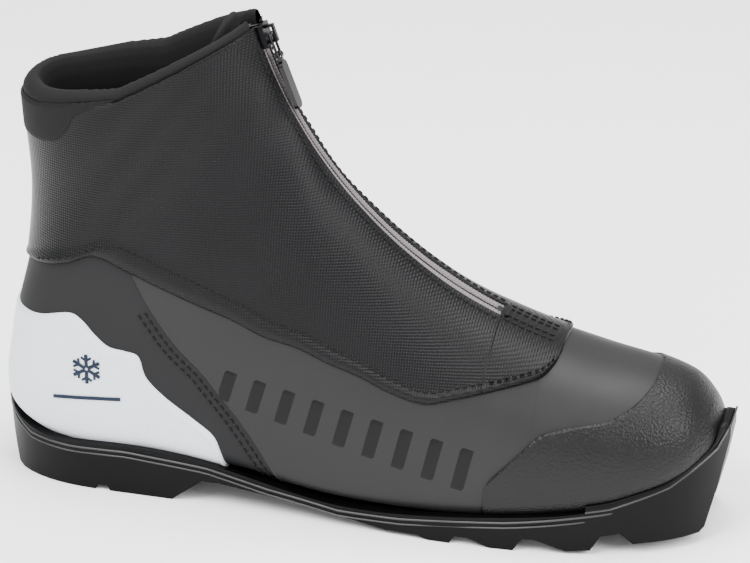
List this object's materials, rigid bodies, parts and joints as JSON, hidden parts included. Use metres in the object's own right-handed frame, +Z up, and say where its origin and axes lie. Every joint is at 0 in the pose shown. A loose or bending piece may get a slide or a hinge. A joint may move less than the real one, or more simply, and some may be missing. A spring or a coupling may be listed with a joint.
{
  "type": "cross country ski boot",
  "caption": "Low ankle-height cross country ski boot with a zipped weather cover over the instep, a cupped rubber toe, a stiff heel counter and a toe bar for the binding.",
  "frame": {"origin": "on the ground, in the middle of the boot's length and width", "axes": "+X to the toe, +Y to the inner (medial) side of this right boot, +Z up"},
  "size_m": [0.3, 0.0942, 0.1964],
  "materials": {
    "steel": "satin",
    "insert": "satin",
    "shank": "matte",
    "sole": "satin",
    "board": "matte",
    "insole": "matte",
    "stiffener": "matte",
    "lining": "matte",
    "neoprene": "matte",
    "upper": "satin",
    "quarter": "satin",
    "counter": "satin",
    "toe_rubber": "matte",
    "webbing": "matte",
    "cover": "satin",
    "tape": "matte",
    "coil": "satin",
    "stop": "satin",
    "slider": "gloss",
    "link": "gloss",
    "tab": "gloss"
  },
  "bodies": {
    "boot": {"binding_bar": "steel", "toe_insert": "insert", "shank": "shank", "outsole": "sole", "lasting_board": "board", "insole": "insole", "heel_stiffener": "stiffener", "toe_puff": "stiffener", "lining": "lining", "collar_pad": "lining", "collar_binding": "neoprene", "tongue": "lining", "vamp": "upper", "quarter_lateral": "quarter", "quarter_medial": "quarter", "heel_counter": "counter", "toe_cap": "toe_rubber", "rear_patch": "neoprene", "eyestay_lateral": "webbing", "eyestay_medial": "webbing", "lace_loops_lateral": "webbing", "lace_loops_medial": "webbing", "cover_lateral": "cover", "cover_medial": "cover", "zip_bottom_stop": "stop"},
    "flap_lateral_body": {"flap_lateral": "cover", "zip_tape_lateral": "tape", "zip_coil_lateral": "coil"},
    "flap_medial_body": {"flap_medial": "cover", "zip_tape_medial": "tape", "zip_coil_medial": "coil"},
    "slider_body": {"zip_slider": "slider"},
    "link_body": {"pull_link": "link"},
    "tab_body": {"pull_tab": "tab"}
  },
  "joints": [
    {"name": "zip_travel", "type": "hinge", "parent": "boot", "child": "slider_body", "pos_m": [0.128, 0, 0.2445], "axis": [0, -1, 0], "range_deg": [0, 45], "deforming": ["zip_tape_lateral", "zip_tape_medial", "zip_coil_lateral", "zip_coil_medial"]},
    {"name": "flap_lateral_open", "type": "hinge", "parent": "boot", "child": "flap_lateral_body", "pos_m": [0.05699, 0, 0.08041], "axis": [0.7798, 0.2216, -0.5855], "range_deg": [0, 30], "deforming": ["flap_lateral"]},
    {"name": "flap_medial_open", "type": "hinge", "parent": "boot", "child": "flap_medial_body", "pos_m": [0.05699, 0, 0.08041], "axis": [-0.7798, 0.2216, 0.5855], "range_deg": [0, 30], "deforming": ["flap_medial"]},
    {"name": "pull_swing", "type": "hinge", "parent": "slider_body", "child": "link_body", "pos_m": [-0.03729, 0, 0.18887], "axis": [0, -1, 0], "range_deg": [0, 130]},
    {"name": "tab_swing", "type": "hinge", "parent": "link_body", "child": "tab_body", "pos_m": [-0.03402, 0, 0.18017], "axis": [0, -1, 0], "range_deg": [0, 75]}
  ],
  "couplings": [
    {"joint": "flap_lateral_open", "follows": "zip_travel", "ratio": 0.66},
    {"joint": "flap_medial_open", "follows": "zip_travel", "ratio": 0.66}
  ]
}
